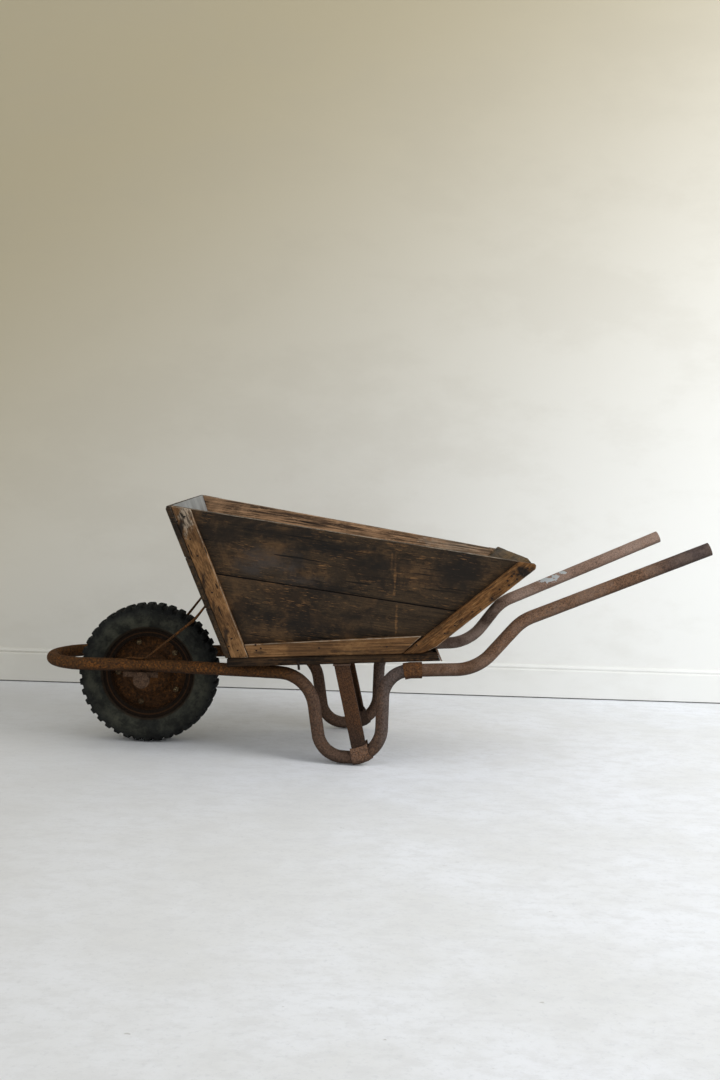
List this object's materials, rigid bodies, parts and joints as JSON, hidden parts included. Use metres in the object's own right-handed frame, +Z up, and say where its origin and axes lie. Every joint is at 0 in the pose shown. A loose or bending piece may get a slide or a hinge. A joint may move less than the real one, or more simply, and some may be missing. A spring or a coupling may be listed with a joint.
{
  "type": "wheelbarrow",
  "caption": "Old wooden-bodied wheelbarrow on a rusty bent steel tube frame with a lugged pneumatic wheel that spins on its axle.",
  "frame": {"origin": "on the ground under the middle of the length and width", "axes": "+X along the length toward the handles, +Y to the right hand of the person pushing, +Z up"},
  "size_m": [1.7113, 0.6539, 0.6606],
  "materials": {
    "rust_coarse": "coarse pitted rust",
    "rust_smooth": "smooth purple-brown rust with a little old grey paint",
    "rust_orange": "flaky orange rust",
    "bolt_steel": "rusted fasteners with worn brassy corners",
    "aged_rubber": "aged dusty rubber",
    "dark_board": "dark stained and scratched board",
    "batten_wood": "lighter worn wood",
    "floor_wood": "rough dirty board",
    "dull_zinc": "dull weathered zinc sheet"
  },
  "bodies": {
    "frame": {"front_loop_tube": "rust_coarse", "collar_left": "rust_coarse", "collar_right": "rust_coarse", "foot_clip_left": "rust_coarse", "foot_clip_right": "rust_coarse", "cross_bar_front": "rust_coarse", "cross_bar_brace": "rust_coarse", "rear_lip": "rust_coarse", "stay_rod_left": "rust_coarse", "stay_rod_right": "rust_coarse", "axle": "rust_coarse", "axle_bracket_left": "rust_coarse", "axle_bracket_right": "rust_coarse", "axle_cap_left": "rust_coarse", "axle_cap_right": "rust_coarse", "axle_spacer_left": "rust_coarse", "axle_spacer_right": "rust_coarse", "handle_tube_left": "rust_smooth", "handle_tube_right": "rust_smooth", "leg_brace_left": "rust_smooth", "leg_brace_right": "rust_smooth", "floor_board_1": "floor_wood", "floor_board_2": "floor_wood", "floor_board_3": "floor_wood", "front_board_1": "dark_board", "front_board_2": "dark_board", "front_board_3": "dark_board", "rear_board_lower": "dark_board", "rear_board_upper": "dark_board", "side_board_lower_left": "dark_board", "side_board_lower_right": "dark_board", "side_board_upper_left": "dark_board", "side_board_upper_right": "dark_board", "front_batten_left": "batten_wood", "front_batten_right": "batten_wood", "bottom_batten_left": "batten_wood", "bottom_batten_right": "batten_wood", "rear_batten_left": "batten_wood", "rear_batten_right": "batten_wood", "front_lining_sheet": "dull_zinc"},
    "wheel": {"rim_half_left": "rust_orange", "rim_half_right": "rust_orange", "hub_barrel": "rust_orange", "hub_bush_left": "bolt_steel", "hub_bush_right": "bolt_steel", "wheel_bolt_1": "bolt_steel", "wheel_bolt_2": "bolt_steel", "wheel_bolt_3": "bolt_steel", "wheel_bolt_4": "bolt_steel", "wheel_bolt_5": "bolt_steel", "wheel_nut_1": "bolt_steel", "wheel_nut_2": "bolt_steel", "wheel_nut_3": "bolt_steel", "wheel_nut_4": "bolt_steel", "wheel_nut_5": "bolt_steel", "tyre": "aged_rubber"}
  },
  "joints": [
    {"name": "wheel_spin", "type": "hinge", "parent": "frame", "child": "wheel", "pos_m": [-0.57815, 0, 0.18736], "axis": [0, 1, 0], "continuous": true}
  ]
}
